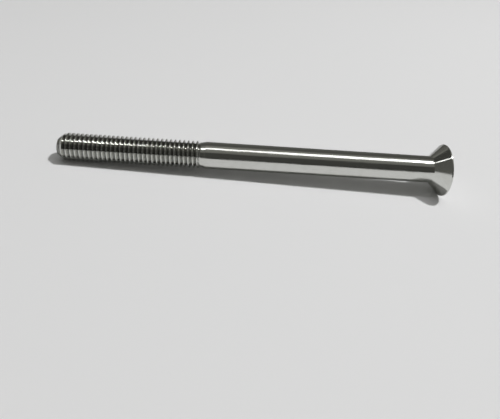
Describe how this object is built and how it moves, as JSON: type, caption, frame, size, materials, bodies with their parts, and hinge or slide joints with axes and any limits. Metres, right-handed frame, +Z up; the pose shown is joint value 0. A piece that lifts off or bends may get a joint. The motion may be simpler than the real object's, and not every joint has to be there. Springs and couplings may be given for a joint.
{
  "type": "countersunk socket screw",
  "caption": "Long countersunk screw with a hexagon socket in its flat head, a plain polished shank, a short neck and a threaded end, lying on its side.",
  "frame": {"origin": "centre of the bounding box's base, on the ground that the screw lies on", "axes": "+X along the screw from its tip to its head, +Z up; the screw lies as it comes to rest, on the rim of its head and its first thread crest, so its own axis dips 1.87 degrees towards the tip"},
  "size_m": [0.0702, 0.0094, 0.0095],
  "materials": {
    "polished_steel": "turned and polished"
  },
  "bodies": {
    "root": {"screw": "polished_steel"}
  },
  "joints": []
}
